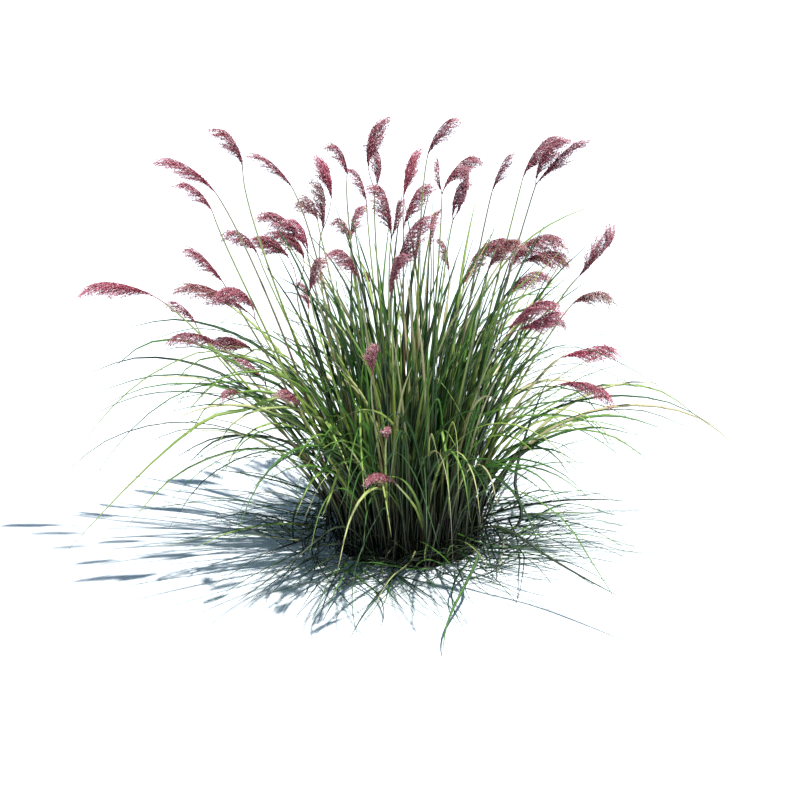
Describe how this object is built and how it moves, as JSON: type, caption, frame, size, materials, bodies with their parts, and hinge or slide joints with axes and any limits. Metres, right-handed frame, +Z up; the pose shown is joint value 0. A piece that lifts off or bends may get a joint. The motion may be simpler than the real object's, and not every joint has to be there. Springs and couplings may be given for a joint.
{
  "type": "fountain grass",
  "caption": "Round clump of ornamental grass: arching blades and thin culms with feathery rose plumes, rooted in a low flat crown.",
  "frame": {"origin": "middle of the crown's flat underside, on the ground", "axes": "+Z up, the way the clump grows; +X to the right and +Y away, seen from the front"},
  "size_m": [1.8842, 1.8628, 1.2409],
  "materials": {
    "crown": "matte",
    "leaves": "satin",
    "plumes": "matte"
  },
  "bodies": {
    "root": {"crown": "crown", "tuft_01": "leaves", "tuft_02": "leaves", "tuft_03": "leaves", "tuft_04": "leaves", "tuft_05": "leaves", "tuft_06": "leaves", "tuft_07": "leaves", "plume_01": "plumes", "plume_02": "plumes", "plume_03": "plumes", "plume_04": "plumes", "plume_05": "plumes", "plume_06": "plumes", "plume_07": "plumes", "plume_08": "plumes", "plume_09": "plumes", "plume_10": "plumes", "plume_11": "plumes", "plume_12": "plumes", "plume_13": "plumes", "plume_14": "plumes", "plume_15": "plumes", "plume_16": "plumes", "plume_17": "plumes", "plume_18": "plumes", "plume_19": "plumes", "plume_20": "plumes", "plume_21": "plumes", "plume_22": "plumes", "plume_23": "plumes", "plume_24": "plumes", "plume_25": "plumes", "plume_26": "plumes", "plume_27": "plumes", "plume_28": "plumes", "plume_29": "plumes", "plume_30": "plumes", "plume_31": "plumes", "plume_32": "plumes", "plume_33": "plumes", "plume_34": "plumes", "plume_35": "plumes", "plume_36": "plumes", "plume_37": "plumes", "plume_38": "plumes", "plume_39": "plumes", "plume_40": "plumes", "plume_41": "plumes", "plume_42": "plumes", "plume_43": "plumes", "plume_44": "plumes", "plume_45": "plumes", "plume_46": "plumes", "plume_47": "plumes", "plume_48": "plumes", "plume_49": "plumes", "plume_50": "plumes"}
  },
  "joints": []
}
